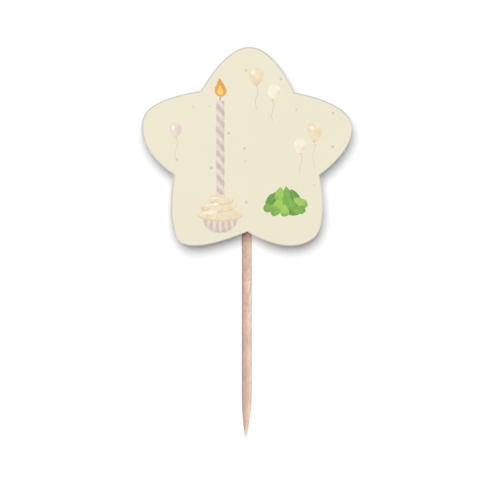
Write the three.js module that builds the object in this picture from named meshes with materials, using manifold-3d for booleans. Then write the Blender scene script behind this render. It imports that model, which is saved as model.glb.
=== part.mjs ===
// A flag toothpick for party food: a star-shaped card on a round wooden pick.
// The pick is bedded in glue on the back of the card, and a paper label closes the back over it.
// Millimetres. The pick stands along +Z with its point at the origin, and the card's face looks along -Y.
import * as THREE from "three";
import { mergeVertices } from "three/addons/utils/BufferGeometryUtils.js";
import Module from "manifold-3d";

// Pick
const pickLength = 65;
const pickRadius = 1;
const pointLength = 7.6; // the part that narrows to the point
const buttChamfer = 0.15; // at the blunt end
const pickSides = 32;
const pointRings = 10;

// Card
const gripLength = 24.4; // how far the pick runs up behind the card
const cardThickness = 0.45;
const petalReach = 21.3; // centre of the card to the end of a petal
const petalBreadth = 5; // more of it makes a petal's end blunter
const notchReach = 15.1; // centre of the card to the notch between two petals
// The drawn star isn't quite regular. Clockwise from the top: each petal, then the notch after it.
// Turns are in degrees. The rest is in millimetres, added to the reaches above and, as rise and fall,
// to the breadth on the petal's two sides.
const petals = [
  { turn: 1.5, reach: -0.3, rise: -0.1, fall: 0.2, notchTurn: 1.5, notchReach: 0.1 },
  { turn: 1.5, reach: 0.1, rise: -0.3, fall: 0.1, notchTurn: -1.5, notchReach: -0.3 },
  { turn: -2.5, reach: -0.2, rise: -0.7, fall: 1.5, notchTurn: -0.5, notchReach: 0.1 },
  { turn: 0.5, reach: 0.3, rise: -1.2, fall: -0.6, notchTurn: 2, notchReach: -0.25 },
  { turn: 2, reach: 0.2, rise: 1.7, fall: -1, notchTurn: 0, notchReach: 0.2 },
];
const outlineSteps = 14; // straight steps along each half of a petal

// Glue
const glueUnderPick = 0.35; // between the pick and the card
const glueHalfWidth = 2.1;
const glueEdge = 0.12; // height of the glue's thin outer edge
const glueLip = 0.22; // width of the glue where it ends on the pick's side
const glueLipAngle = 12; // degrees below the pick's widest line
const glueSetback = 1.6; // from the notch up to where the glue starts
const glueShort = 2.5; // from the glue's end to the pick's blunt end

// Label
const labelThickness = 0.2;
const labelInset = 0.15; // the label is cut this much inside the card's outline
const ridgeFoot = 2.9; // half the width of the tent where it leaves the card
const ridgeRun = 4; // length of the slope past the pick's blunt end
const ridgeSteps = 14;

// Fits
const fitGap = 0.05; // between the pick and the glue or the label
const overcut = 1; // how far a cutting shape reaches past what it cuts

// Places worked out from the sizes above
const cardHeight = pickLength - gripLength + notchReach;
const cardBack = -(pickRadius + fitGap + glueUnderPick);
const cradleRadius = pickRadius + fitGap;
const ridgeTop = cradleRadius + labelThickness;
const ridgeEnd = pickLength + fitGap;
const ridgeStart = cardHeight - petalReach;
const ridgeSlope = (cradleRadius - cardBack) / ridgeRun;
const skirt = cardBack - overcut; // where the ridge's shapes start, inside the card

const wasm = await Module();
wasm.setup();

const materials = {
  card: new THREE.MeshStandardMaterial({ color: 0xefe9d1, roughness: 0.55, metalness: 0 }),
  birch: new THREE.MeshStandardMaterial({ color: 0xdcb89f, roughness: 0.75, metalness: 0 }),
  glue: new THREE.MeshStandardMaterial({ color: 0xe9e3cf, roughness: 0.35, metalness: 0 }),
  paper: new THREE.MeshStandardMaterial({ color: 0xf1eee4, roughness: 0.85, metalness: 0 }),
};

// A closed geometry made into a solid that can be joined and cut
function toSolid(geometry) {
  const bare = geometry.index ? geometry.toNonIndexed() : geometry.clone();
  bare.deleteAttribute("normal");
  bare.deleteAttribute("uv");
  const merged = mergeVertices(bare);
  const vertProperties = new Float32Array(merged.attributes.position.array);
  const triVerts = new Uint32Array(merged.index.array);
  return new wasm.Manifold(new wasm.Mesh({ numProp: 3, vertProperties, triVerts }));
}

function fromSolid(solid) {
  const mesh = solid.getMesh();
  const geometry = new THREE.BufferGeometry();
  geometry.setAttribute("position", new THREE.BufferAttribute(mesh.vertProperties, 3));
  geometry.setIndex(new THREE.BufferAttribute(mesh.triVerts, 1));
  geometry.computeVertexNormals();
  return geometry;
}

// A point at a distance from the centre, at an angle turned clockwise from straight up
function fromCentre(reach, degrees) {
  const angle = THREE.MathUtils.degToRad(degrees);
  return new THREE.Vector2(reach * Math.sin(angle), reach * Math.cos(angle));
}

// The star's outline about its own centre, drawn smaller all round by the inset
function starShape(inset) {
  const step = 360 / petals.length;
  const notches = petals.map((petal, index) =>
    fromCentre(notchReach + petal.notchReach - inset, (index + 0.5) * step + petal.notchTurn)
  );
  let notch = notches[notches.length - 1];
  const outline = new THREE.Shape();
  outline.moveTo(notch.x, notch.y);
  petals.forEach((petal, index) => {
    const heading = index * step + petal.turn;
    const end = fromCentre(petalReach + petal.reach - inset, heading);
    const rising = end.clone().add(fromCentre(petalBreadth + petal.rise, heading - 90));
    const falling = end.clone().add(fromCentre(petalBreadth + petal.fall, heading + 90));
    outline.bezierCurveTo(notch.x, notch.y, rising.x, rising.y, end.x, end.y);
    notch = notches[index];
    outline.bezierCurveTo(falling.x, falling.y, notch.x, notch.y, notch.x, notch.y);
  });
  return outline;
}

// A star-shaped plate that stands upright, from the card's back surface to the given depth behind it.
// A negative depth lies in front of that surface.
function starPlate(inset, depth) {
  const geometry = new THREE.ExtrudeGeometry(starShape(inset), {
    depth: Math.abs(depth),
    bevelEnabled: false,
    curveSegments: outlineSteps,
  });
  geometry.rotateX(Math.PI / 2);
  geometry.translate(0, Math.max(cardBack, cardBack + depth), cardHeight);
  return geometry;
}

// The tent's cross-section: straight sides from its feet on the card, tangent to an arc round the pick
function tentShape(foot, radius) {
  const footAngle = Math.atan2(cardBack, foot);
  const touchAngle = footAngle + Math.acos(radius / Math.hypot(foot, cardBack));
  const shape = new THREE.Shape();
  shape.moveTo(-foot, skirt);
  shape.lineTo(foot, skirt);
  shape.lineTo(foot, cardBack);
  shape.absarc(0, 0, radius, touchAngle, Math.PI - touchAngle, false);
  shape.lineTo(-foot, cardBack);
  return shape;
}

// The tent's side profile: level along the pick, then a slope down to the card past its blunt end
function rampShape(height, thickness) {
  const lift = thickness * Math.hypot(1, ridgeSlope);
  const slopeStart = ridgeEnd + (lift - thickness) / ridgeSlope;
  const slopeEnd = ridgeEnd + ridgeRun + lift / ridgeSlope;
  const slopeBottom = slopeEnd + overcut / ridgeSlope;
  const shape = new THREE.Shape();
  shape.moveTo(skirt, ridgeStart);
  shape.lineTo(height, ridgeStart);
  shape.lineTo(height, slopeStart);
  shape.lineTo(skirt, slopeBottom);
  return shape;
}

// A ridge with the tent's cross-section and its sloping end
function ridgeSolid(foot, radius, thickness) {
  const run = new THREE.ExtrudeGeometry(tentShape(foot, radius), {
    depth: ridgeEnd + 2 * ridgeRun - ridgeStart,
    bevelEnabled: false,
    curveSegments: ridgeSteps,
  });
  run.translate(0, 0, ridgeStart);
  const width = 2 * (foot + overcut);
  const side = new THREE.ExtrudeGeometry(rampShape(radius, thickness), { depth: width, bevelEnabled: false });
  const depthwise = new THREE.Vector3(0, 1, 0);
  const upward = new THREE.Vector3(0, 0, 1);
  const sideways = new THREE.Vector3(1, 0, 0);
  side.applyMatrix4(new THREE.Matrix4().makeBasis(depthwise, upward, sideways));
  side.translate(-width / 2, 0, 0);
  return toSolid(run).intersect(toSolid(side));
}

// The pick: a round rod with a rounded, slowly narrowing point and a chamfered blunt end
function pickGeometry() {
  const profile = [];
  for (let ring = 0; ring <= pointRings; ring += 1) {
    const share = ring / pointRings;
    profile.push(new THREE.Vector2(pickRadius * share, pointLength * share ** 2));
  }
  profile.push(new THREE.Vector2(pickRadius, pickLength - buttChamfer));
  profile.push(new THREE.Vector2(pickRadius - buttChamfer, pickLength));
  profile.push(new THREE.Vector2(0, pickLength));
  const geometry = new THREE.LatheGeometry(profile, pickSides);
  geometry.rotateX(Math.PI / 2);
  return geometry;
}

// The glue: a strip on the card's back that rises in a fillet to each side of the pick
function glueGeometry() {
  const lipAngle = THREE.MathUtils.degToRad(glueLipAngle);
  const lip = new THREE.Vector2(cradleRadius * Math.cos(lipAngle), -cradleRadius * Math.sin(lipAngle));
  const shape = new THREE.Shape();
  shape.moveTo(-glueHalfWidth, cardBack);
  shape.lineTo(glueHalfWidth, cardBack);
  shape.lineTo(glueHalfWidth, cardBack + glueEdge);
  shape.quadraticCurveTo(lip.x + glueLip, cardBack + glueEdge, lip.x + glueLip, lip.y);
  shape.lineTo(lip.x, lip.y);
  shape.absarc(0, 0, cradleRadius, -lipAngle, Math.PI + lipAngle, true);
  shape.lineTo(-lip.x - glueLip, lip.y);
  shape.quadraticCurveTo(-lip.x - glueLip, cardBack + glueEdge, -glueHalfWidth, cardBack + glueEdge);
  const start = cardHeight - notchReach + glueSetback;
  const geometry = new THREE.ExtrudeGeometry(shape, {
    depth: pickLength - glueShort - start,
    bevelEnabled: false,
    curveSegments: ridgeSteps,
  });
  geometry.translate(0, 0, start);
  return geometry;
}

// The label: a thin star glued to the card's back, raised in a ridge over the pick and open at the notch
function labelGeometry() {
  const outside = ridgeSolid(ridgeFoot + labelThickness, ridgeTop, labelThickness);
  const trimmed = outside.intersect(toSolid(starPlate(labelInset, ridgeTop - cardBack + overcut)));
  const sheet = toSolid(starPlate(labelInset, labelThickness)).add(trimmed);
  return fromSolid(sheet.subtract(ridgeSolid(ridgeFoot, cradleRadius, 0)));
}

function addPiece(group, name, geometry, material) {
  const mesh = new THREE.Mesh(geometry, material);
  mesh.name = name;
  group.add(mesh);
}

const flagToothpick = new THREE.Group();
addPiece(flagToothpick, "front_card", starPlate(0, -cardThickness), materials.card);
addPiece(flagToothpick, "toothpick", pickGeometry(), materials.birch);
addPiece(flagToothpick, "glue_bed", glueGeometry(), materials.glue);
addPiece(flagToothpick, "back_label", labelGeometry(), materials.paper);

export default flagToothpick;
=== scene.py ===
import math

import bmesh
import bpy
from mathutils import Matrix, Vector, kdtree, noise


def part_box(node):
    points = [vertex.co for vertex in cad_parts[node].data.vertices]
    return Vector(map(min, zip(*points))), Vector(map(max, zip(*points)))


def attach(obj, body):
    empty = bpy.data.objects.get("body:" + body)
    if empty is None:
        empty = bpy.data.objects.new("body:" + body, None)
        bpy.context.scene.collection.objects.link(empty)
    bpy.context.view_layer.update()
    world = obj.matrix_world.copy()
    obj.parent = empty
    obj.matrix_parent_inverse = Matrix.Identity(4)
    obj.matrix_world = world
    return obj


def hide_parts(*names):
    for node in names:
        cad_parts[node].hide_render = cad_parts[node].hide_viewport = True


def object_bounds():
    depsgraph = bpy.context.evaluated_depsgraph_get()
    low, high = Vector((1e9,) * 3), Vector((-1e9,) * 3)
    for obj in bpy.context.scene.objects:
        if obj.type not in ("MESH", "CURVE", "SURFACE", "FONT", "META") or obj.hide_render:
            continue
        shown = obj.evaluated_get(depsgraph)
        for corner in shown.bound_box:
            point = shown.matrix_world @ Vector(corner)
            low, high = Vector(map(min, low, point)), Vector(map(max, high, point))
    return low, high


# Flag toothpick: a star of printed card on a wooden pick, shown flat on a white table.
# The table stands upright behind it, because the pick's length is the part's Z.

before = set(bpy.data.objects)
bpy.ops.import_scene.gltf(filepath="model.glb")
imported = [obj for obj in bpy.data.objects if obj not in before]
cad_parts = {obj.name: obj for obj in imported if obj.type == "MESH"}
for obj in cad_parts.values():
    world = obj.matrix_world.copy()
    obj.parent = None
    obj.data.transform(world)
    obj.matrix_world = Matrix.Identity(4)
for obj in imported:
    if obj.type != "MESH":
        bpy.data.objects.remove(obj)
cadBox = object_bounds()
mm = 0.001
scene = bpy.context.scene
scene.view_settings.view_transform = "Standard"
print("frame loaded:", sorted(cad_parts))


# Node helpers

def clearTree(owner):
    owner.use_nodes = True
    owner.node_tree.nodes.clear()
    return owner.node_tree


def addNode(tree, kind, values=(), **settings):
    node = tree.nodes.new("ShaderNode" + kind)
    for name, value in settings.items():
        setattr(node, name, value)
    pairs = values.items() if isinstance(values, dict) else enumerate(values)
    for socket, value in pairs:
        if isinstance(value, bpy.types.NodeSocket):
            tree.links.new(value, node.inputs[socket])
        else:
            node.inputs[socket].default_value = value
    return node


def calc(tree, operation, *values):
    return addNode(tree, "Math", values, operation=operation).outputs[0]


def vectorCalc(tree, operation, *values):
    return addNode(tree, "VectorMath", values, operation=operation).outputs[0]


def split(tree, vector):
    return addNode(tree, "SeparateXYZ", [vector]).outputs


# A range in the settings is low and high, and where it has four numbers bottom and top too
def ramp(tree, value, low, high, bottom=0.0, top=1.0, kind="SMOOTHSTEP"):
    values = {"Value": value, "From Min": low, "From Max": high, "To Min": bottom, "To Max": top}
    return addNode(tree, "MapRange", values, interpolation_type=kind).outputs["Result"]


# A texture is its stretch across, in depth and up, per millimetre, and its detail
def cloud(tree, place, texture, output="Fac", **more):
    stretch, detail = texture
    stretched = vectorCalc(tree, "MULTIPLY", place, stretch)
    values = {"Vector": stretched, "Scale": 1.0, "Detail": detail, **more}
    return addNode(tree, "TexNoise", values).outputs[output]


def blendColor(tree, amount, first, second, kind="MIX"):
    node = addNode(tree, "Mix", data_type="RGBA", blend_type=kind)
    for socket, value in zip(("Factor", "A", "B"), (amount, first, second)):
        wanted = [i for i in node.inputs if i.name == socket and i.enabled][0]
        if isinstance(value, bpy.types.NodeSocket):
            tree.links.new(value, wanted)
        else:
            wanted.default_value = value
    return [o for o in node.outputs if o.enabled][0]


def multiply(tree, color, factor, amount=1.0):
    return blendColor(tree, amount, color, factor, "MULTIPLY")


def srgb(red, green, blue):
    channels = []
    for value in (red, green, blue):
        share = value / 255
        channels.append(share / 12.92 if share <= 0.04045 else ((share + 0.055) / 1.055) ** 2.4)
    return (*channels, 1)


def newGroup(name, inputs, outputs):
    tree = bpy.data.node_groups.new(name, "ShaderNodeTree")
    for label, kind, value in inputs:
        socket = tree.interface.new_socket(
            name=label, in_out="INPUT", socket_type="NodeSocket" + kind)
        if value is not None:
            socket.default_value = value
    for label, kind in outputs:
        tree.interface.new_socket(name=label, in_out="OUTPUT", socket_type="NodeSocket" + kind)
    given = tree.nodes.new("NodeGroupInput").outputs
    return tree, given, tree.nodes.new("NodeGroupOutput").inputs


def useGroup(tree, group, **values):
    return addNode(tree, "Group", values, node_tree=group).outputs


def newMaterial(name):
    material = bpy.data.materials.new(name)
    tree = clearTree(material)
    shader = addNode(tree, "BsdfPrincipled")
    addNode(tree, "OutputMaterial", {"Surface": shader.outputs["BSDF"]})
    where = addNode(tree, "TexCoord").outputs["Object"]
    place = addNode(tree, "Mapping", {"Vector": where, "Scale": (1 / mm, 1 / mm, 1 / mm)})
    return material, tree, shader, place.outputs["Vector"]      # millimetres


def bumpInto(tree, shader, height, strength, distance):
    bump = addNode(tree, "Bump", {"Height": height, "Strength": strength, "Distance": distance})
    tree.links.new(bump.outputs["Normal"], shader.inputs["Normal"])


# Camera, table and lights

studio = {
    "pixel": 0.196 * mm,         # what one pixel of the photograph covers at the card
    "pickPixelX": 246.8,         # the pick's centre line in the photograph
    "pointPixelY": 438.3,        # the pick's point in the photograph
    "frameSize": 500,
    "lens": 135,
    "sensorWidth": 36,
    "clipNear": 0.01,            # shares of the camera's distance
    "clipFar": 20,
    "keyFromLeft": 6.5,          # degrees
    "keyFromAbove": 23,
    "keySoftness": 54,           # how wide the lamp looks from the table, in degrees
    "keyLevel": 0.82,            # share of the light on a surface that faces it
    "rearLevel": 0.82,
    "rightLevel": 1.0,           # low lamps that graze the table and light the edges
    "leftLevel": 0.15,
    "lowFromBelow": 70,          # degrees that the right one is turned towards the pick's point
    "lowSoftness": 3,
    "worldLevel": 0.13,
    "white": (1, 1, 1, 1),
    "tableGap": 0.03 * mm,       # between the table and the back of the label
    "tableSize": 600 * mm,
    "tableGlow": 0.09,           # keeps the table white beyond the card's own shadow
}


def makeCamera():
    half = studio["frameSize"] / 2
    data = bpy.data.cameras.new("camera")
    data.lens = studio["lens"]
    data.sensor_width = studio["sensorWidth"]
    width = studio["frameSize"] * studio["pixel"]
    distance = width * data.lens / data.sensor_width
    data.clip_start = distance * studio["clipNear"]
    data.clip_end = distance * studio["clipFar"]
    camera = bpy.data.objects.new("camera", data)
    across = (half - studio["pickPixelX"]) * studio["pixel"]
    height = (studio["pointPixelY"] - half) * studio["pixel"]
    camera.location = (across, cadBox[0].y - distance, height)
    camera.rotation_euler = (math.radians(90), 0, 0)
    scene.collection.objects.link(camera)
    scene.camera = camera


def makeSun(name, level, fromDirection, softness, facing):
    data = bpy.data.lights.new(name, "SUN")
    direction = fromDirection.normalized()
    data.energy = level * math.pi / direction.dot(facing.normalized())
    data.angle = math.radians(softness)
    lamp = bpy.data.objects.new(name, data)
    lamp.rotation_mode = "QUATERNION"
    lamp.rotation_quaternion = direction.to_track_quat("Z", "Y")
    scene.collection.objects.link(lamp)
    return lamp


def makeLights():
    left = math.tan(math.radians(studio["keyFromLeft"]))
    above = math.tan(math.radians(studio["keyFromAbove"]))
    below = math.tan(math.radians(studio["lowFromBelow"]))
    soft, lowSoft = studio["keySoftness"], studio["lowSoftness"]
    ahead = Vector((0, 1, 0))
    makeSun("keyLight", studio["keyLevel"], Vector((-left, -1, above)), soft, -ahead)
    rear = makeSun("rearLight", studio["rearLevel"], Vector((-left, 1, above)), soft, ahead)
    rear.data.cycles.max_bounces = 0         # no light comes through to the table's front
    for name, across in (("right", Vector((1, 0, -below))), ("left", Vector((-1, 0, 0)))):
        makeSun(name + "Light", studio[name + "Level"], across, lowSoft, across)


def makeWorld():
    world = bpy.data.worlds.new("studioWorld")
    tree = clearTree(world)
    path = addNode(tree, "LightPath").outputs
    seen = calc(tree, "MAXIMUM", path["Is Camera Ray"], path["Is Glossy Ray"])
    seen = calc(tree, "MAXIMUM", seen, path["Is Transmission Ray"])
    level = ramp(tree, seen, 0.0, 1.0, studio["worldLevel"], 1.0, "LINEAR")
    background = addNode(tree, "Background", {"Color": studio["white"], "Strength": level})
    addNode(tree, "OutputWorld", {"Surface": background.outputs["Background"]})
    scene.world = world


def tableMaterial():
    material = bpy.data.materials.new("whiteTable")
    tree = clearTree(material)
    camera = addNode(tree, "LightPath").outputs["Is Camera Ray"]
    behind = addNode(tree, "NewGeometry").outputs["Backfacing"]
    # Seen by the camera, and from the front only
    shown = addNode(tree, "Math", [camera, behind], operation="SUBTRACT", use_clamp=True)
    diffuse = addNode(tree, "BsdfDiffuse", {"Color": studio["white"]})
    glow = addNode(tree, "Emission", {"Strength": studio["tableGlow"]})
    both = addNode(tree, "AddShader", [diffuse.outputs[0], glow.outputs[0]])
    clear = addNode(tree, "BsdfTransparent")
    mix = addNode(tree, "MixShader", [shown.outputs[0], clear.outputs[0], both.outputs[0]])
    addNode(tree, "OutputMaterial", {"Surface": mix.outputs[0]})
    return material


def makeTable():
    bm = bmesh.new()
    bmesh.ops.create_grid(bm, x_segments=1, y_segments=1, size=studio["tableSize"] / 2)
    upright = Matrix.Rotation(math.radians(90), 3, "X")
    bmesh.ops.rotate(bm, verts=bm.verts, cent=(0, 0, 0), matrix=upright)
    middle = (cadBox[0] + cadBox[1]) / 2
    behind = (0, cadBox[1].y + studio["tableGap"], middle.z)
    bmesh.ops.translate(bm, verts=bm.verts, vec=behind)
    mesh = bpy.data.meshes.new("table")
    bm.to_mesh(mesh)
    bm.free()
    mesh.materials.append(tableMaterial())
    table = bpy.data.objects.new("table", mesh)
    scene.collection.objects.link(table)


makeCamera()
makeLights()
makeWorld()
makeTable()
print("camera, lights and table made")


# Effects that several materials use

effects = {
    "fibreDetail": 5.0,
    "strand": ((14.0, 14.0, 4.9), 3.0),
    "strandTwist": 1.2,
    "mottleDetail": 3.0,
    "mottleRange": (0.3, 0.7),
    "thinnest": 0.05,            # a printed shape isn't pinched to less of its width than this
}


def makeFibreGroup():
    tree, given, result = newGroup(
        "paperFibre",
        [("Place", "Vector", None), ("Scale", "Float", 4.0), ("Amount", "Float", 0.02)],
        [("Tint", "Float"), ("Height", "Float")],
    )
    values = {"Vector": given["Place"], "Scale": given["Scale"], "Detail": effects["fibreDetail"]}
    felt = addNode(tree, "TexNoise", values).outputs["Fac"]
    strand = cloud(tree, given["Place"], effects["strand"], Distortion=effects["strandTwist"])
    mixed = calc(tree, "MULTIPLY", calc(tree, "ADD", felt, strand), 0.5)
    centred = calc(tree, "SUBTRACT", mixed, 0.5)
    tint = calc(tree, "MULTIPLY_ADD", centred, given["Amount"], 1.0)
    tree.links.new(tint, result["Tint"])
    tree.links.new(mixed, result["Height"])
    return tree


def makeMottleGroup():
    tree, given, result = newGroup(
        "mottle",
        [("Place", "Vector", None), ("Scale", "Float", 0.2),
         ("Low", "Float", 0.95), ("High", "Float", 1.0)],
        [("Level", "Float")],
    )
    values = {"Vector": given["Place"], "Scale": given["Scale"], "Detail": effects["mottleDetail"]}
    patch = addNode(tree, "TexNoise", values).outputs["Fac"]
    limits = (*effects["mottleRange"], given["Low"], given["High"])
    tree.links.new(ramp(tree, patch, *limits, "LINEAR"), result["Level"])
    return tree


def makeSpotGroup():
    tree, given, result = newGroup(
        "printedSpot",
        [("Place", "Vector", None), ("Centre", "Vector", None), ("Half", "Vector", (1, 1, 1)),
         ("Turn", "Float", 0.0), ("Pinch", "Float", 0.0), ("Edge", "Float", 0.06)],
        [("Mask", "Float"), ("Across", "Float"), ("Up", "Float")],
    )
    moved = vectorCalc(tree, "SUBTRACT", given["Place"], given["Centre"])
    turned = addNode(tree, "VectorRotate", {"Vector": moved, "Angle": given["Turn"]},
                     rotation_type="Y_AXIS").outputs["Vector"]
    parts = split(tree, vectorCalc(tree, "DIVIDE", turned, given["Half"]))
    up = parts["Z"]
    narrow = calc(tree, "SUBTRACT", 1.0, calc(tree, "MULTIPLY", up, given["Pinch"]))
    narrow = calc(tree, "MAXIMUM", narrow, effects["thinnest"])
    across = calc(tree, "DIVIDE", parts["X"], narrow)
    squares = calc(tree, "ADD", calc(tree, "POWER", across, 2.0), calc(tree, "POWER", up, 2.0))
    outer = calc(tree, "ADD", 1.0, given["Edge"])
    inner = calc(tree, "SUBTRACT", 1.0, given["Edge"])
    tree.links.new(ramp(tree, calc(tree, "SQRT", squares), outer, inner), result["Mask"])
    tree.links.new(across, result["Across"])
    tree.links.new(up, result["Up"])
    return tree


fibreGroup = makeFibreGroup()
mottleGroup = makeMottleGroup()
spotGroup = makeSpotGroup()
print("shader groups made")


# Mesh helpers

meshing = {
    "weld": 0.001 * mm,
    "flat": 0.4,                 # degrees; facets that meet at less than this become one face
    "hair": 0.0001 * mm,         # tolerance of cuts
    "broad": 20,                 # only the card's front and back have more corners than this
    "upright": 0.5,              # a direction with more depth than this runs through the card
}


def cadCopy(node):
    bm = bmesh.new()
    bm.from_mesh(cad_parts[node].data)
    bmesh.ops.remove_doubles(bm, verts=bm.verts, dist=meshing["weld"])
    flat = math.radians(meshing["flat"])
    bmesh.ops.dissolve_limit(bm, angle_limit=flat, verts=bm.verts, edges=bm.edges)
    return bm


def sliceMesh(bm, point, normal):
    everything = bm.verts[:] + bm.edges[:] + bm.faces[:]
    bmesh.ops.bisect_plane(bm, geom=everything, dist=meshing["hair"],
                           plane_co=point, plane_no=normal)


def isBroad(face):
    return len(face.verts) > meshing["broad"]


def finishPiece(bm, name, material, slot, *nodes):
    mesh = bpy.data.meshes.new(name)
    bm.to_mesh(mesh)
    bm.free()
    mesh.materials.append(material)
    piece = bpy.data.objects.new(name, mesh)
    scene.collection.objects.link(piece)
    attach(piece, "root")
    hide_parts(*nodes)
    print("made", name, len(mesh.polygons), "faces")
    return piece


def markSmooth(bm, sharpAngle):
    limit = math.radians(sharpAngle)
    for face in bm.faces:
        face.smooth = True
    for edge in bm.edges:
        edge.smooth = len(edge.link_faces) == 2 and edge.calc_face_angle() < limit


def smoothStep(value, low, high):
    share = min(max((value - low) / (high - low), 0), 1)
    return share * share * (3 - 2 * share)


# The printed card

card = {
    "centreHeight": 55.74 * mm,      # of the star, above the pick's point
    "outlineRounds": 2,              # each halves the straight steps of the outline
    "outlineSoftness": 0.75,
    "notchBend": 25,                 # degrees; sharper corners of the outline stay as they are
    "grow": 1.004,                   # cut a touch larger than drawn
    "lift": 0.05 * mm,               # and glued on a touch higher
    "edgeRings": (0.28 * mm, 0.22 * mm),
    "edgeDrop": 0.085 * mm,          # how far the cutter presses it down
    "rim": 0.05 * mm,
    "rimSteps": 2,
    "faceDepth": 0.01 * mm,          # what lies this near the front or the back belongs to it
    "sharpAngle": 40,
    "lineSide": (-0.5, 0.87),        # edges that face this way, up and to the left, show a painted shade line
    "lineFacing": (-0.2, 0.35),      # 1 faces that way and -1 the other
    "shadedFacing": (-0.35, -0.8),
    "coreWidth": 0.03,               # down to wander, these are millimetres in from the cut edge
    "lineRange": (0.1, 0.19),
    "inkRange": (0.22, 0.36),
    "inkShort": 0.06,                # the print ends this much earlier where the line shows
    "inkLong": 0.1,                  # and this much later on the shaded edges
    "wander": 0.06,                  # how unsteady these borders are, by the ragged texture
    "paper": srgb(235, 228, 203),
    "cutEdge": srgb(226, 222, 211),
    "shadedEdge": srgb(176, 172, 163),   # on the edges that face away from the lamp
    # a painted shade line along the cut edges that face up and to the left
    "paintedShadeLine": srgb(205, 203, 193),
    "cutCore": srgb(222, 219, 208),
    "cutLayer": srgb(196, 192, 180),
    "fibre": {"Scale": 3.0, "Amount": 0.02},
    "tone": {"Scale": 0.12, "Low": 0.992, "High": 1.008},
    "layers": ((1.2, 26.0, 1.2), 3.0),   # of paper in the cut edge
    "layerRange": (0.35, 0.65),
    "ragged": ((1.6, 1.6, 1.6), 3.0),
    "roughness": 0.5,
    "bareRoughness": 0.85,
    "bump": (0.1, 0.01 * mm),
}

inks = {
    "peach": srgb(239, 222, 188),
    "cream": srgb(250, 241, 214),
    "sand": srgb(229, 206, 168),
    "orange": srgb(228, 158, 48),
    "yellow": srgb(247, 205, 96),
    "mauve": srgb(208, 190, 178),
    "rose": srgb(234, 214, 205),
    "wick": srgb(150, 128, 116),
    "darkLeaf": srgb(82, 137, 34),
    "midLeaf": srgb(112, 166, 52),
    "paleLeaf": srgb(150, 196, 72),
}

# Printed shapes: millimetres across and up from the star's centre, half width, half height,
# turn in degrees, pinch towards the top, and ink
frosting = [
    (-5.2, -12.1, 4.4, 1.15, 0, 0, "sand"),
    (-5.2, -11.8, 4.3, 1.1, 0, 0, "peach"),
    (-5.5, -10.5, 3.5, 1.05, 4, 0, "sand"),
    (-5.3, -10.2, 3.4, 1.0, 4, 0, "peach"),
    (-5.0, -9.1, 2.4, 0.95, -3, 0, "sand"),
    (-5.1, -8.8, 2.3, 0.9, -3, 0, "peach"),
    (-7.3, -11.45, 1.5, 0.34, 5, 0, "cream"),
    (-6.7, -9.95, 1.2, 0.3, 8, 0, "cream"),
    (-6.1, -8.65, 0.8, 0.26, 6, 0, "cream"),
]

cup = [
    (-5.2, -13.2, 3.3, 2.3, 0, -0.12, "mauve"),
    (-7.4, -13.3, 0.32, 1.4, -14, 0, "rose"),
    (-6.3, -13.6, 0.34, 1.7, -7, 0, "rose"),
    (-5.2, -13.7, 0.34, 1.7, 0, 0, "rose"),
    (-4.1, -13.6, 0.34, 1.7, 7, 0, "rose"),
    (-3.0, -13.3, 0.32, 1.4, 14, 0, "rose"),
]

flame = [
    (-5.2, 11.0, 0.1, 0.7, 0, 0, "wick"),
    (-5.2, 13.0, 0.98, 1.75, 4, 0.62, "orange"),
    (-5.22, 12.5, 0.5, 0.95, 4, 0.6, "yellow"),
]

leafBed = [
    (6.1, -9.5, 2.5, 2.0, 20, 0, "darkLeaf"),
    (9.0, -10.1, 2.4, 1.9, -15, 0, "darkLeaf"),
    (7.6, -8.6, 2.3, 1.5, 0, 0, "midLeaf"),
]

leaves = [
    (4.7, -10.3, 0.85, 1.5, -62, 0.35, "midLeaf"),
    (5.1, -8.7, 0.8, 1.4, -38, 0.35, "darkLeaf"),
    (6.4, -7.9, 0.8, 1.4, -14, 0.35, "paleLeaf"),
    (7.9, -7.7, 0.75, 1.35, 8, 0.35, "midLeaf"),
    (9.3, -8.2, 0.8, 1.4, 30, 0.35, "darkLeaf"),
    (10.5, -9.5, 0.85, 1.5, 58, 0.35, "paleLeaf"),
    (10.2, -11.0, 0.8, 1.3, 96, 0.35, "midLeaf"),
    (6.2, -9.9, 0.85, 1.3, -25, 0.35, "paleLeaf"),
    (8.6, -9.9, 0.85, 1.35, 22, 0.35, "midLeaf"),
    (7.4, -11.1, 0.8, 1.2, 4, 0.35, "paleLeaf"),
    (5.7, -11.4, 0.7, 1.0, -80, 0.35, "midLeaf"),
]

# Across, up, half width, half height, turn, ink, length of its string
balloons = [
    (1.8, 15.2, 1.45, 1.75, -4, "peach", 5.2),
    (5.3, 12.2, 1.25, 1.5, 8, "cream", 4.6),
    (13.3, 4.4, 1.5, 1.8, 5, "peach", 5.6),
    (10.4, 1.6, 1.2, 1.45, -7, "cream", 4.2),
    (-14.0, 4.6, 1.2, 1.45, -6, "rose", 4.8),
]

drawing = {
    "wobble": ((1.4, 1.4, 1.4), 2.0),    # drawn by hand, so no outline is quite true
    "wobbleReach": 0.35,
    "wash": {"Scale": 0.9, "Low": 0.9, "High": 1.06},
    "softEdge": 0.07,
}

candle = {
    "across": -5.2,
    "foot": -8.6,
    "top": 10.4,
    "halfWidth": 0.8,
    "sideRange": (1.06, 0.94),           # shares of the half width
    "endRange": (-0.05, 0.05),
    "pitch": 2.3,
    "slant": 0.9,
    "stripeRange": (0.22, 0.27),         # shares of the pitch
    "shadeRange": (-0.2, 1.0),
    "shade": 0.93,
}

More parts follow.
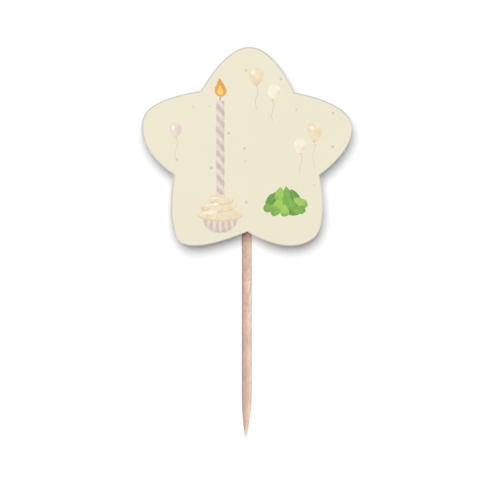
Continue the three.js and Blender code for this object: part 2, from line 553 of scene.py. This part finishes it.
balloon = {
    "pinch": -0.16,
    "knotDrop": 1.06,                    # in half heights below the balloon's centre
    "knot": (0.26, 0.22),                # half width and half height
    "knotPinch": 0.8,
    "stringHalf": 0.05,
    "stringRange": (2.0, 0.5),           # in those halves
    "stringSway": 0.25,
    "stringWaves": 1.5,
    "stringStart": 0.05,
    "stringFade": 0.8,
    "stringStrength": 0.7,
    "shadeRange": (0.1, 1.3),
    "shade": 0.55,
    "shine": (0.38, 0.4, 0.24, 0.26),    # left, up, half width and half height, in its own halves
    "shineTurn": 20,
    "shineEdge": 0.5,
}

leafStyle = {
    "veinRange": (0.16, 0.06),
    "vein": 0.45,
    "underRange": (-0.1, -1.0),
    "under": 0.6,
}

confetti = {
    "spacing": 3.4,              # millimetres between the places where a dot may lie
    "scatter": 0.85,
    "size": 0.3,
    "edge": (1.15, 0.85),        # in sizes
    "share": 0.2,                # of those places that have a dot
    "mauve": 0.5,                # share of the dots that are mauve, and the others are sand
    "plain": 0.72,               # share of both that stay so, and the others are rose
    "strength": 0.75,
    "shift": (0.5, 1.9, 0.0),    # of the whole scatter, so that the card's edge cuts no dot
}


def cardPoint(across, up):
    return (across, 0.0, up + card["centreHeight"] / mm)


def makeStripeGroup():
    tree, given, result = newGroup(
        "printedCandle",
        [("Place", "Vector", None), ("Middle", "Float", 0.0), ("Foot", "Float", 0.0),
         ("Top", "Float", 1.0), ("Half", "Float", 1.0), ("Pitch", "Float", 1.0),
         ("Slant", "Float", 1.0)],
        [("Mask", "Float"), ("Stripe", "Float"), ("Shade", "Float")],
    )
    parts = split(tree, given["Place"])
    across = calc(tree, "SUBTRACT", parts["X"], given["Middle"])
    across = calc(tree, "DIVIDE", across, given["Half"])
    side = ramp(tree, calc(tree, "ABSOLUTE", across), *candle["sideRange"])
    above = ramp(tree, calc(tree, "SUBTRACT", parts["Z"], given["Foot"]), *candle["endRange"])
    below = ramp(tree, calc(tree, "SUBTRACT", given["Top"], parts["Z"]), *candle["endRange"])
    mask = calc(tree, "MULTIPLY", side, calc(tree, "MULTIPLY", above, below))
    climb = calc(tree, "MULTIPLY_ADD", across, given["Slant"], parts["Z"])
    turn = calc(tree, "FRACT", calc(tree, "DIVIDE", climb, given["Pitch"]))
    fromMiddle = calc(tree, "ABSOLUTE", calc(tree, "SUBTRACT", turn, 0.5))
    shade = ramp(tree, across, *candle["shadeRange"], 1.0, candle["shade"])
    tree.links.new(mask, result["Mask"])
    tree.links.new(ramp(tree, fromMiddle, *candle["stripeRange"]), result["Stripe"])
    tree.links.new(shade, result["Shade"])
    return tree


def makeStringGroup():
    tree, given, result = newGroup(
        "printedString",
        [("Place", "Vector", None), ("Knot", "Vector", None), ("Length", "Float", 5.0)],
        [("Mask", "Float")],
    )
    moved = split(tree, vectorCalc(tree, "SUBTRACT", given["Place"], given["Knot"]))
    drop = calc(tree, "MULTIPLY", moved["Z"], -1.0)
    wave = calc(tree, "SINE", calc(tree, "MULTIPLY", drop, balloon["stringWaves"]))
    wave = calc(tree, "MULTIPLY", wave, balloon["stringSway"])
    off = calc(tree, "ABSOLUTE", calc(tree, "SUBTRACT", moved["X"], wave))
    outer, inner = (share * balloon["stringHalf"] for share in balloon["stringRange"])
    line = ramp(tree, off, outer, inner, kind="LINEAR")
    start = ramp(tree, drop, 0.0, balloon["stringStart"])
    fading = calc(tree, "SUBTRACT", given["Length"], balloon["stringFade"])
    end = ramp(tree, drop, given["Length"], fading, kind="LINEAR")
    mask = calc(tree, "MULTIPLY", line, calc(tree, "MULTIPLY", start, end))
    tree.links.new(mask, result["Mask"])
    return tree


stripeGroup = makeStripeGroup()
stringGroup = makeStringGroup()


def printSpot(tree, place, color, shape, ink, edge=drawing["softEdge"]):
    across, up, halfWidth, halfHeight, turn, pinch = shape
    half = (halfWidth, 1, halfHeight)
    spot = useGroup(tree, spotGroup, Place=place, Centre=cardPoint(across, up), Half=half,
                    Turn=math.radians(turn), Pinch=pinch, Edge=edge)
    return blendColor(tree, spot["Mask"], color, ink), spot


def overlay(tree, color, amount, mask, ink):
    return blendColor(tree, calc(tree, "MULTIPLY", amount, mask), color, ink)


def printConfetti(tree, place, color, washes):
    parts = split(tree, place)
    flat = addNode(tree, "CombineXYZ", [parts["X"], parts["Z"]]).outputs[0]
    flat = vectorCalc(tree, "ADD", flat, confetti["shift"])
    values = {"Vector": flat, "Scale": 1 / confetti["spacing"], "Randomness": confetti["scatter"]}
    dots = addNode(tree, "TexVoronoi", values, voronoi_dimensions="2D").outputs
    chance = addNode(tree, "SeparateColor", [dots["Color"]]).outputs
    size = confetti["size"] / confetti["spacing"]
    dot = ramp(tree, dots["Distance"], *(size * share for share in confetti["edge"]))
    dot = calc(tree, "MULTIPLY", dot, calc(tree, "LESS_THAN", chance["Red"], confetti["share"]))
    isSand = calc(tree, "GREATER_THAN", chance["Green"], confetti["mauve"])
    isRose = calc(tree, "GREATER_THAN", chance["Blue"], confetti["plain"])
    hue = blendColor(tree, isSand, washes["mauve"], washes["sand"])
    hue = blendColor(tree, isRose, hue, washes["rose"])
    return overlay(tree, color, dot, confetti["strength"], hue)


def printBalloon(tree, place, color, washes, entry):
    across, up, halfWidth, halfHeight, turn, ink, length = entry
    lean, foot = math.radians(turn), halfHeight * balloon["knotDrop"]
    knot = (across - foot * math.sin(lean), up - foot * math.cos(lean))
    string = useGroup(tree, stringGroup, Place=place, Knot=cardPoint(*knot), Length=length)
    color = overlay(tree, color, string["Mask"], balloon["stringStrength"], washes["mauve"])
    shape = (*knot, *balloon["knot"], turn, balloon["knotPinch"])
    color = printSpot(tree, place, color, shape, washes["sand"])[0]
    shape = (across, up, halfWidth, halfHeight, turn, balloon["pinch"])
    color, body = printSpot(tree, place, color, shape, washes[ink])
    shade = calc(tree, "SUBTRACT", body["Across"], body["Up"])
    shade = ramp(tree, shade, *balloon["shadeRange"], 0.0, balloon["shade"])
    color = overlay(tree, color, shade, body["Mask"], washes["sand"])
    left, above, width, height = balloon["shine"]
    shape = (across - left * halfWidth, up + above * halfHeight,
             width * halfWidth, height * halfHeight, turn + balloon["shineTurn"], 0)
    return printSpot(tree, place, color, shape, inks["cream"], balloon["shineEdge"])[0]


def printCandle(tree, place, color, washes):
    foot, top = (cardPoint(0, candle[end])[2] for end in ("foot", "top"))
    stick = useGroup(tree, stripeGroup, Place=place, Middle=candle["across"], Foot=foot, Top=top,
                     Half=candle["halfWidth"], Pitch=candle["pitch"], Slant=candle["slant"])
    wax = blendColor(tree, stick["Stripe"], washes["rose"], washes["mauve"])
    return blendColor(tree, stick["Mask"], color, multiply(tree, wax, stick["Shade"]))


def printLeaf(tree, place, color, washes, entry):
    color, leaf = printSpot(tree, place, color, entry[:-1], washes[entry[-1]])
    vein = calc(tree, "ABSOLUTE", leaf["Across"])
    vein = ramp(tree, vein, *leafStyle["veinRange"], 0.0, leafStyle["vein"])
    color = overlay(tree, color, vein, leaf["Mask"], washes["paleLeaf"])
    under = ramp(tree, leaf["Up"], *leafStyle["underRange"], 0.0, leafStyle["under"])
    return overlay(tree, color, under, leaf["Mask"], washes["darkLeaf"])


def printDesign(tree, place, color):
    drift = cloud(tree, place, drawing["wobble"], "Color")
    drift = vectorCalc(tree, "SUBTRACT", drift, (0.5, 0.5, 0.5))
    reach = [drawing["wobbleReach"]] * 3
    place = vectorCalc(tree, "ADD", place, vectorCalc(tree, "MULTIPLY", drift, reach))
    wash = useGroup(tree, mottleGroup, Place=place, **drawing["wash"])["Level"]
    washes = {name: multiply(tree, ink, wash) for name, ink in inks.items()}
    color = printConfetti(tree, place, color, washes)
    for entry in balloons:
        color = printBalloon(tree, place, color, washes, entry)
    color = printCandle(tree, place, color, washes)
    for entry in flame + cup + frosting + leafBed:
        color = printSpot(tree, place, color, entry[:-1], washes[entry[-1]])[0]
    for entry in leaves:
        color = printLeaf(tree, place, color, washes, entry)
    return color


def cardMaterial():
    material, tree, shader, place = newMaterial("printedCard")
    fibre = useGroup(tree, fibreGroup, Place=place, **card["fibre"])
    tone = useGroup(tree, mottleGroup, Place=place, **card["tone"])["Level"]
    paper = multiply(tree, card["paper"], calc(tree, "MULTIPLY", fibre["Tint"], tone))
    printed = printDesign(tree, place, paper)
    layers = ramp(tree, cloud(tree, place, card["layers"]), *card["layerRange"])
    core = blendColor(tree, layers, card["cutLayer"], card["cutCore"])
    ragged = calc(tree, "SUBTRACT", cloud(tree, place, card["ragged"]), 0.5)
    fromEdge = addNode(tree, "Attribute", attribute_name="edgeDistance").outputs["Fac"]
    fromEdge = calc(tree, "MULTIPLY_ADD", ragged, -card["wander"], fromEdge)
    facing = addNode(tree, "Attribute", attribute_name="edgeFacing").outputs["Fac"]
    # Painted shade: the cut edge is darker where it faces away from the lamp
    shaded = ramp(tree, facing, *card["shadedFacing"])
    edgeWithPaintedShade = blendColor(tree, shaded, card["cutEdge"], card["shadedEdge"])
    color = blendColor(tree, ramp(tree, fromEdge, 0.0, card["coreWidth"]), core, edgeWithPaintedShade)
    # Painted shade: a grey line on the edges that face up and to the left
    shadeLineShows = ramp(tree, facing, *card["lineFacing"])
    line = ramp(tree, fromEdge, *card["lineRange"])
    color = overlay(tree, color, line, shadeLineShows, card["paintedShadeLine"])
    inkEdge = calc(tree, "MULTIPLY_ADD", shadeLineShows, -card["inkShort"], fromEdge)
    inkEdge = calc(tree, "MULTIPLY_ADD", shaded, card["inkLong"], inkEdge)
    inked = ramp(tree, inkEdge, *card["inkRange"])
    color = blendColor(tree, inked, color, printed)
    rough = ramp(tree, inked, 0.0, 1.0, card["bareRoughness"], card["roughness"])
    tree.links.new(color, shader.inputs["Base Color"])
    tree.links.new(rough, shader.inputs["Roughness"])
    bumpInto(tree, shader, fibre["Height"], *card["bump"])
    return material


def isCurved(vert):
    along = [(e.other_vert(vert).co - vert.co).normalized() for e in vert.link_edges]
    along = [a for a in along if abs(a.y) < meshing["upright"]]
    return along[0].dot(along[1]) < -math.cos(math.radians(card["notchBend"]))


def cardPlate():
    bm = cadCopy("front_card")
    for _ in range(card["outlineRounds"]):
        rims = [e for e in bm.edges if any(isBroad(f) for f in e.link_faces)]
        bmesh.ops.subdivide_edges(bm, edges=rims, cuts=1)
        curved = [v for v in bm.verts if isCurved(v)]
        bmesh.ops.smooth_vert(bm, verts=curved, factor=card["outlineSoftness"],
                              use_axis_x=True, use_axis_z=True)
    return bm


# How far a point is from the outline, in millimetres, and how much the edge there faces lineSide
def nearestEdge(outline, corners, point):
    nearest, facing = math.inf, 0
    index = corners.find((point.x, 0, point.z))[1]
    before, corner, after = outline[index - 1], outline[index], outline[(index + 1) % len(outline)]
    for start, end in ((before, corner), (corner, after)):
        line = Vector((end.x - start.x, end.z - start.z))
        offset = Vector((point.x - start.x, point.z - start.z))
        share = min(max(offset.dot(line) / line.length_squared, 0), 1)
        distance = (offset - line * share).length
        if distance < nearest:
            nearest = distance
            facing = Vector((line.y, -line.x)).normalized().dot(Vector(card["lineSide"]))
    return nearest / mm, facing


def makeCard():
    low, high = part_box("front_card")
    bm = cardPlate()
    face = [f for f in bm.faces if isBroad(f) and f.normal.y < -meshing["upright"]]
    centre = Matrix.Translation((0, 0, -card["centreHeight"]))
    grow = (card["grow"], 1, card["grow"])
    bmesh.ops.scale(bm, verts=bm.verts, vec=grow, space=centre)
    bmesh.ops.translate(bm, verts=bm.verts, vec=(0, 0, card["lift"]))
    outline = [v.co.copy() for v in face[0].verts]
    corners = kdtree.KDTree(len(outline))
    for index, point in enumerate(outline):
        corners.insert((point.x, 0, point.z), index)
    corners.balance()
    for width in card["edgeRings"]:
        bmesh.ops.inset_region(bm, faces=face, thickness=width, use_even_offset=True)
    sides = [f for f in bm.faces if abs(f.normal.y) < meshing["upright"]]
    front, back = low.y + card["faceDepth"], high.y - card["faceDepth"]
    rimVerts = list({v for f in sides for v in f.verts if v.co.y < front})
    bmesh.ops.translate(bm, verts=rimVerts, vec=(0, card["edgeDrop"], 0))
    frontEdges = [e for e in bm.edges if all(v in rimVerts for v in e.verts)]
    backEdges = [e for e in bm.edges if all(v.co.y > back for v in e.verts)]
    bmesh.ops.bevel(bm, geom=frontEdges + backEdges, offset=card["rim"], offset_type="OFFSET",
                    segments=card["rimSteps"], profile=0.5, affect="EDGES", material=-1)
    layers = [bm.verts.layers.float.new(name) for name in ("edgeDistance", "edgeFacing")]
    for vert in bm.verts:
        for layer, value in zip(layers, nearestEdge(outline, corners, vert.co)):
            vert[layer] = value
    markSmooth(bm, card["sharpAngle"])
    for face in bm.faces:
        if isBroad(face):
            face.smooth = False
    finishPiece(bm, "printedCard", cardMaterial(), "printed_card", "front_card")


makeCard()


# The pick

pick = {
    "pointLength": 8.8 * mm,
    "sides": 64,
    "pointRings": 26,
    "ringStep": 0.45 * mm,
    # From the point to its full thickness: root of the height's share, then the radius's share
    "pointCurve": ((0, 0), (0.25, 0.25), (0.36, 0.36), (0.47, 0.475), (0.63, 0.675),
                   (0.76, 0.84), (0.87, 0.955), (0.93, 0.985), (1, 1)),
    "buttChamfer": 0.15 * mm,
    "buttRound": 0.3,                # of the chamfer, in and down
    "buttRing": 0.5,                 # of the radius
    "lean": -0.14 * mm,              # the sharpened end isn't quite central
    "leanFrom": 7.6 * mm,
    "leanTo": 2 * mm,
    "outOfRound": 0.014,             # share of the radius that the rod is planed off at most
    "wornWaves": (0.9, 0.12),        # round it and along it
    "wornShare": 0.75,
    "fineWaves": (5, 0.35),
    "sharpAngle": 38,
}

wood = {
    "drift": ((0.8, 0.8, 0.22), 3.0),
    "blotch": ((2.0, 2.0, 0.85), 4.0),
    "blotchRoughness": 0.6,
    "blotchRange": (0.38, 0.62),
    "blotchStrength": 0.8,
    "streak": ((6.0, 6.0, 0.55), 4.0),
    "streakTwist": 0.4,
    "streakRange": (0.25, 0.75, 0.85, 1.15),
    "patch": ((2.6, 2.6, 1.5), 2.0),
    "patchRange": (0.3, 0.7, 0.9, 1.1),
    "patchAbove": (17.0, 27.0),      # millimetres above the point, as are all other heights here
    "pores": (3.2, 3.2, 0.6),
    "poreRange": (0.3, 0.12),
    "poreBlotch": (0.6, 0.42),
    "poreStrength": 0.4,
    "grain": ((14.0, 14.0, 0.7), 3.0),
    "grainStreak": 0.8,
    "grainPore": 0.5,
    "roughness": 0.72,
    "bump": (0.5, 0.04 * mm),
    # Painted side shade across the pick, darker on its left side and lighter on its right one
    "sideShadeTones": ((0.0, srgb(195, 182, 174)), (0.24, srgb(204, 180, 167)), (0.5, srgb(227, 194, 173)),
              (0.74, srgb(242, 215, 197)), (1.0, srgb(252, 236, 226))),
    "rosy": srgb(255, 238, 240),
    "tan": srgb(240, 239, 226),
    "fleck": srgb(168, 130, 110),
    "pared": 1.12,                   # the cut wood of the point is this much brighter
    "paredBelow": (8.5, 5.5),
    "frayed": srgb(229, 223, 218),
    "frayedBelow": (2.8, 0.6),
    "frayedStrength": 0.9,
    "frayedRagged": 0.8,
    "cardShadowTint": srgb(200, 183, 196),   # painted shadow of the card on the wood just below it
    "cardShadowAbove": (38.9, 39.9),
    "shadowEdgeTint": srgb(222, 213, 203),     # and where that painted shadow fades out
    "shadowEdgeAbove": (38.0, 38.9),
    "shadowSides": 0.6,                # the painted shadow reaches this much lower at the pick's sides
    "shadowRagged": 1.2,
}


def curveAt(points, value):
    for (start, low), (end, high) in zip(points, points[1:]):
        if value <= end:
            return low + (high - low) * (value - start) / (end - start)
    return points[-1][1]


# Wood tone that drifts at random, plus painted side shade from the pick's left side to its right
# one
def woodToneAndSideShade(tree, place, across):
    drift = calc(tree, "SUBTRACT", cloud(tree, place, wood["drift"]), 0.5)
    tone = calc(tree, "ADD", drift, calc(tree, "MULTIPLY_ADD", across, 0.5, 0.5))
    shades = addNode(tree, "ValToRGB", [tone])
    stops = shades.color_ramp.elements
    for index, (spot, color) in enumerate(wood["sideShadeTones"]):
        isInner = 0 < index < len(wood["sideShadeTones"]) - 1
        stop = stops.new(spot) if isInner else stops[-1 if index else 0]
        stop.position = spot
        stop.color = color
    return shades.outputs["Color"]


def pickMaterial():
    material, tree, shader, place = newMaterial("birchWood")
    parts = split(tree, place)
    across, height = parts["X"], parts["Z"]
    color = woodToneAndSideShade(tree, place, across)
    blotch = cloud(tree, place, wood["blotch"], Roughness=wood["blotchRoughness"])
    tint = blendColor(tree, ramp(tree, blotch, *wood["blotchRange"]), wood["tan"], wood["rosy"])
    color = multiply(tree, color, tint, wood["blotchStrength"])
    streak = cloud(tree, place, wood["streak"], Distortion=wood["streakTwist"])
    color = multiply(tree, color, ramp(tree, streak, *wood["streakRange"]))
    patch = ramp(tree, cloud(tree, place, wood["patch"]), *wood["patchRange"])
    color = multiply(tree, color, patch, ramp(tree, height, *wood["patchAbove"]))
    values = {"Vector": vectorCalc(tree, "MULTIPLY", place, wood["pores"]), "Scale": 1.0}
    pores = addNode(tree, "TexVoronoi", values).outputs["Distance"]
    pore = calc(tree, "MULTIPLY", ramp(tree, pores, *wood["poreRange"]),
                ramp(tree, blotch, *wood["poreBlotch"]))
    color = overlay(tree, color, pore, wood["poreStrength"], wood["fleck"])
    color = multiply(tree, color, ramp(tree, height, *wood["paredBelow"], 1.0, wood["pared"]))
    frayed = calc(tree, "MULTIPLY_ADD", streak, wood["frayedRagged"], height)
    frayed = ramp(tree, frayed, *wood["frayedBelow"], 0.0, wood["frayedStrength"])
    color = blendColor(tree, frayed, color, wood["frayed"])
    # Painted shadow of the card on the wood just below it, reaching lower at the pick's sides
    shadowReach = calc(tree, "POWER", across, 2.0)
    shadowReach = calc(tree, "MULTIPLY_ADD", shadowReach, wood["shadowSides"], height)
    ragged = calc(tree, "SUBTRACT", streak, 0.5)
    shadowReach = calc(tree, "MULTIPLY_ADD", ragged, wood["shadowRagged"], shadowReach)
    tint = blendColor(tree, ramp(tree, shadowReach, *wood["cardShadowAbove"]), wood["shadowEdgeTint"], wood["cardShadowTint"])
    color = multiply(tree, color, tint, ramp(tree, shadowReach, *wood["shadowEdgeAbove"]))
    tree.links.new(color, shader.inputs["Base Color"])
    shader.inputs["Roughness"].default_value = wood["roughness"]
    grain = cloud(tree, place, wood["grain"])
    relief = calc(tree, "MULTIPLY_ADD", streak, wood["grainStreak"], grain)
    relief = calc(tree, "MULTIPLY_ADD", pore, -wood["grainPore"], relief)
    bumpInto(tree, shader, relief, *wood["bump"])
    return material


def unevenness(across, along, height, waves):
    around, lengthwise = waves
    where = Vector((across * around, along * around, height * lengthwise))
    return 0.5 + 0.5 * noise.noise(where)


def makePick():
    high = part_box("toothpick")[1]
    length, radius = high.z, high.x
    profile = []
    for ring in range(pick["pointRings"] + 1):
        share = ring / pick["pointRings"]
        reach = radius * curveAt(pick["pointCurve"], share)
        profile.append((reach, pick["pointLength"] * share ** 2))
    chamfer = pick["buttChamfer"]
    shank = length - chamfer - pick["pointLength"]
    rings = round(shank / pick["ringStep"])
    for ring in range(1, rings + 1):
        profile.append((radius, pick["pointLength"] + shank * ring / rings))
    rounding = chamfer * pick["buttRound"]
    profile += [(radius - rounding, length - rounding), (radius - chamfer, length),
                (radius * pick["buttRing"], length), (0, length)]
    bm = bmesh.new()
    verts = [bm.verts.new((across, 0, height)) for across, height in profile]
    edges = [bm.edges.new(pair) for pair in zip(verts, verts[1:])]
    bmesh.ops.spin(bm, geom=verts + edges, axis=(0, 0, 1), cent=(0, 0, 0),
                   angle=math.radians(360), steps=pick["sides"], use_merge=True)
    bmesh.ops.remove_doubles(bm, verts=bm.verts, dist=meshing["hair"])
    for vert in bm.verts:
        reach = math.hypot(vert.co.x, vert.co.y) or 1
        spot = (vert.co.x / reach, vert.co.y / reach, vert.co.z / mm)
        worn = pick["wornShare"] * unevenness(*spot, pick["wornWaves"])
        fine = (1 - pick["wornShare"]) * unevenness(*spot, pick["fineWaves"])
        planed = 1 - pick["outOfRound"] * (worn + fine)
        vert.co.x = vert.co.x * planed
        vert.co.x += pick["lean"] * (1 - smoothStep(vert.co.z, pick["leanTo"], pick["leanFrom"]))
        vert.co.y = vert.co.y * planed
    bmesh.ops.recalc_face_normals(bm, faces=bm.faces)
    markSmooth(bm, pick["sharpAngle"])
    piece = finishPiece(bm, "woodPick", pickMaterial(), "birch", "toothpick")
    piece.visible_shadow = False     # the photograph shows none beside the pick


makePick()


# The label on the back

label = {
    "thickness": 0.2 * mm,
    "inset": 0.15 * mm,
    "lift": 0.003 * mm,              # off the card, so that the two don't meet in one plane
    "ridgeRadius": 1.25 * mm,        # outside, round the pick
    "ridgeFoot": 3.1 * mm,
    "ridgeEnd": 65.45 * mm,
    "ridgeRun": 4 * mm,
    "sag": 0.1 * mm,                 # of the paper between the pick and the card
    "softFoot": 0.5 * mm,
    "softEnd": 0.5 * mm,
    "fineReach": 4.0 * mm,           # half the width of the finer mesh over the ridge
    "fineStep": 0.2 * mm,
    "wideStep": 1.5 * mm,
    "riseStep": 0.5 * mm,
    "creaseFade": 0.4,               # share of a crease's length after which it runs out
    "sharpCorner": 0.5,              # keeps the inset from running away at the notches
    "sharpAngle": 50,
    "paper": srgb(243, 240, 230),
    "rubbed": srgb(234, 229, 216),
    "underWood": srgb(246, 234, 218),
    "fibre": {"Scale": 1.6, "Amount": 0.07},
    "tone": {"Scale": 0.25, "Low": 0.975, "High": 1.01},
    "woodShows": (1.0, 0.55, 0.0, 0.7),      # by the distance from the middle, in millimetres
    "woodBelow": (65.2, 64.4),
    "wear": ((1.3, 1.3, 0.39), 4.0),
    "wearRange": (0.42, 0.62, 0.15, 0.8),
    "wearDepth": (0.95, 1.22),               # millimetres behind the pick's centre line
    "roughness": 0.86,
    "bump": (0.5, 0.05 * mm),
}

# Creases in the label: where each starts and ends across and up, in millimetres,
# its width and its height
creases = [
    (1.0, 65.2, 5.6, 69.4, 0.45, 0.05),
    (-1.1, 65.4, -4.9, 70.3, 0.4, 0.045),
    (3.2, 52.0, 6.8, 54.4, 0.5, 0.03),
    (-3.1, 46.6, -7.4, 45.2, 0.55, 0.035),
    (2.9, 44.6, 5.2, 43.2, 0.4, 0.03),
]


def softMax(first, second, softness):
    overlap = max(softness - abs(first - second), 0) / softness
    return max(first, second) + overlap * overlap * softness / 4


def creaseHeight(across, up):
    total = 0
    for startAcross, startUp, endAcross, endUp, width, height in creases:
        line = Vector((endAcross - startAcross, endUp - startUp))
        offset = Vector((across - startAcross, up - startUp))
        along = min(max(offset.dot(line) / line.length_squared, 0), 1)
        distance = (offset - line * along).length
        fade = 1 - smoothStep(along, label["creaseFade"], 1)
        total += height * math.exp(-(distance / width) ** 2) * fade
    return total * mm


def labelHeight(across, up, cardBack):
    flat = cardBack + label["thickness"] + label["lift"]
    radius, foot = label["ridgeRadius"], label["ridgeFoot"]
    touch = math.atan2(cardBack, foot) + math.acos(radius / math.hypot(foot, cardBack))
    touchAcross, touchHeight = radius * math.cos(touch), radius * math.sin(touch)
    side = abs(across)
    if side < touchAcross:
        tent = math.sqrt(radius * radius - side * side)
    else:
        share = (side - touchAcross) / (foot - touchAcross)
        tent = touchHeight + (cardBack - touchHeight) * share
        tent -= label["sag"] * math.sin(math.pi * min(share, 1))
    fall = (radius - cardBack) / label["ridgeRun"]
    slope = radius - (up - label["ridgeEnd"]) * fall
    tent = -softMax(-tent, -slope, label["softEnd"])
    return softMax(flat, tent, label["softFoot"])


def labelMaterial():
    material, tree, shader, place = newMaterial("labelPaper")
    fibre = useGroup(tree, fibreGroup, Place=place, **label["fibre"])
    tone = useGroup(tree, mottleGroup, Place=place, **label["tone"])["Level"]
    color = multiply(tree, label["paper"], calc(tree, "MULTIPLY", fibre["Tint"], tone))
    parts = split(tree, place)
    side = ramp(tree, calc(tree, "ABSOLUTE", parts["X"]), *label["woodShows"])
    below = ramp(tree, parts["Z"], *label["woodBelow"])
    color = overlay(tree, color, side, below, label["underWood"])
    wear = ramp(tree, cloud(tree, place, label["wear"]), *label["wearRange"])
    touched = ramp(tree, parts["Y"], *label["wearDepth"])
    color = overlay(tree, color, touched, wear, label["rubbed"])
    tree.links.new(color, shader.inputs["Base Color"])
    shader.inputs["Roughness"].default_value = label["roughness"]
    bumpInto(tree, shader, fibre["Height"], *label["bump"])
    return material


def insetLoop(points, inset):
    moved = []
    for index, point in enumerate(points):
        before, after = points[index - 1], points[(index + 1) % len(points)]
        onward = (after - point).normalized()
        ahead = (onward + (point - before).normalized()).normalized()
        inward = Vector((-ahead.z, 0, ahead.x))
        moved.append(point + inward * inset / max(ahead.dot(onward), label["sharpCorner"]))
    return moved


def labelOutline():
    source = cardPlate()
    broad = [f for f in source.faces if isBroad(f) and f.normal.y > meshing["upright"]]
    points = [v.co.copy() for v in broad[0].verts]
    source.free()
    if sum(a.x * b.z - b.x * a.z for a, b in zip(points, points[1:] + points[:1])) < 0:
        points.reverse()
    return insetLoop(points, label["inset"])


def makeLabel():
    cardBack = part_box("front_card")[1].y
    low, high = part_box("back_label")
    bm = bmesh.new()
    bm.faces.new([bm.verts.new((p.x, 0, p.z)) for p in labelOutline()])
    reach = label["fineReach"]
    fine = round(2 * reach / label["fineStep"])
    wide = math.ceil((high.x - reach) / label["wideStep"])
    rises = math.ceil((high.z - low.z) / label["riseStep"])
    cuts = [-reach + 2 * reach * index / fine for index in range(fine + 1)]
    for index in range(1, wide):
        cuts += [side * (reach + index * label["wideStep"]) for side in (-1, 1)]
    for across in cuts:
        sliceMesh(bm, (across, 0, 0), (1, 0, 0))
    for index in range(1, rises):
        sliceMesh(bm, (0, 0, low.z + index * label["riseStep"]), (0, 0, 1))
    for vert in bm.verts:
        vert.co.y = labelHeight(vert.co.x, vert.co.z, cardBack)
        if not vert.is_boundary:
            vert.co.y += creaseHeight(vert.co.x / mm, vert.co.z / mm)
    bmesh.ops.recalc_face_normals(bm, faces=bm.faces)
    if sum(f.normal.y for f in bm.faces) < 0:
        bmesh.ops.reverse_faces(bm, faces=bm.faces)
    bmesh.ops.solidify(bm, geom=bm.faces[:], thickness=label["thickness"])
    bmesh.ops.recalc_face_normals(bm, faces=bm.faces)
    markSmooth(bm, label["sharpAngle"])
    finishPiece(bm, "backLabel", labelMaterial(), "label_paper", "back_label")


makeLabel()


# The glue under the pick

glue = {
    "cradle": 1.06 * mm,             # what lies within this of the pick's centre line isn't moved
    "spine": 0.2 * mm,               # nor what lies this near the middle
    "sliceStep": 0.55 * mm,
    "uneven": 0.11 * mm,
    "unevenBias": 0.6,
    "unevenAt": 1.1 * mm,            # out from the cradle, where it is that uneven
    "waves": (3, 0.45),              # from side to side and along the strip
    "endRound": 1.3 * mm,
    "endWidth": 0.15,                # share of its width that is left at the very end
    "leastWidth": 0.02 * mm,
    "sharpAngle": 45,
    "clear": srgb(236, 231, 214),
    "cloudy": srgb(222, 213, 190),
    "clouds": ((0.9, 0.9, 0.9), 3.0),
    "cloudRange": (0.35, 0.65),
    "bubbleScale": 2.2,
    "bubbleRange": (0.24, 0.12),
    "bubbleStrength": 0.35,
    "bubbleRelief": 0.3,
    "roughness": 0.34,
    "bump": (0.3, 0.05 * mm),
}


def glueMaterial():
    material, tree, shader, place = newMaterial("hotGlue")
    clouds = cloud(tree, place, glue["clouds"])
    color = blendColor(tree, ramp(tree, clouds, *glue["cloudRange"]), glue["clear"], glue["cloudy"])
    bubbles = addNode(tree, "TexVoronoi", {"Vector": place, "Scale": glue["bubbleScale"]})
    bubble = ramp(tree, bubbles.outputs["Distance"], *glue["bubbleRange"])
    color = overlay(tree, color, bubble, glue["bubbleStrength"], glue["clear"])
    tree.links.new(color, shader.inputs["Base Color"])
    shader.inputs["Roughness"].default_value = glue["roughness"]
    relief = calc(tree, "MULTIPLY_ADD", bubble, glue["bubbleRelief"], clouds)
    bumpInto(tree, shader, relief, *glue["bump"])
    return material


def makeGlue():
    low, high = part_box("glue_bed")
    bm = cadCopy("glue_bed")
    slices = round((high.z - low.z) / glue["sliceStep"])
    for index in range(1, slices):
        height = low.z + (high.z - low.z) * index / slices
        sliceMesh(bm, (0, 0, height), (0, 0, 1))
    sideWaves, longWaves = glue["waves"]
    for vert in bm.verts:
        reach = math.hypot(vert.co.x, vert.co.y)
        if reach < glue["cradle"] or abs(vert.co.x) < glue["spine"]:
            continue
        side = math.copysign(1, vert.co.x)
        toEnd = min(vert.co.z - low.z, high.z - vert.co.z)
        full = math.sqrt(1 - (1 - min(toEnd / glue["endRound"], 1)) ** 2)
        share = glue["endWidth"] + (1 - glue["endWidth"]) * full
        wave = noise.noise(Vector((side * sideWaves, 0, vert.co.z / mm * longWaves)))
        wave = glue["uneven"] * (wave - glue["unevenBias"]) / glue["unevenAt"]
        spread = (abs(vert.co.x) - glue["cradle"]) * (share + wave)
        vert.co.x = side * (glue["cradle"] + max(spread, glue["leastWidth"]))
    bmesh.ops.recalc_face_normals(bm, faces=bm.faces)
    markSmooth(bm, glue["sharpAngle"])
    finishPiece(bm, "glueBead", glueMaterial(), "hot_glue", "glue_bed")


makeGlue()
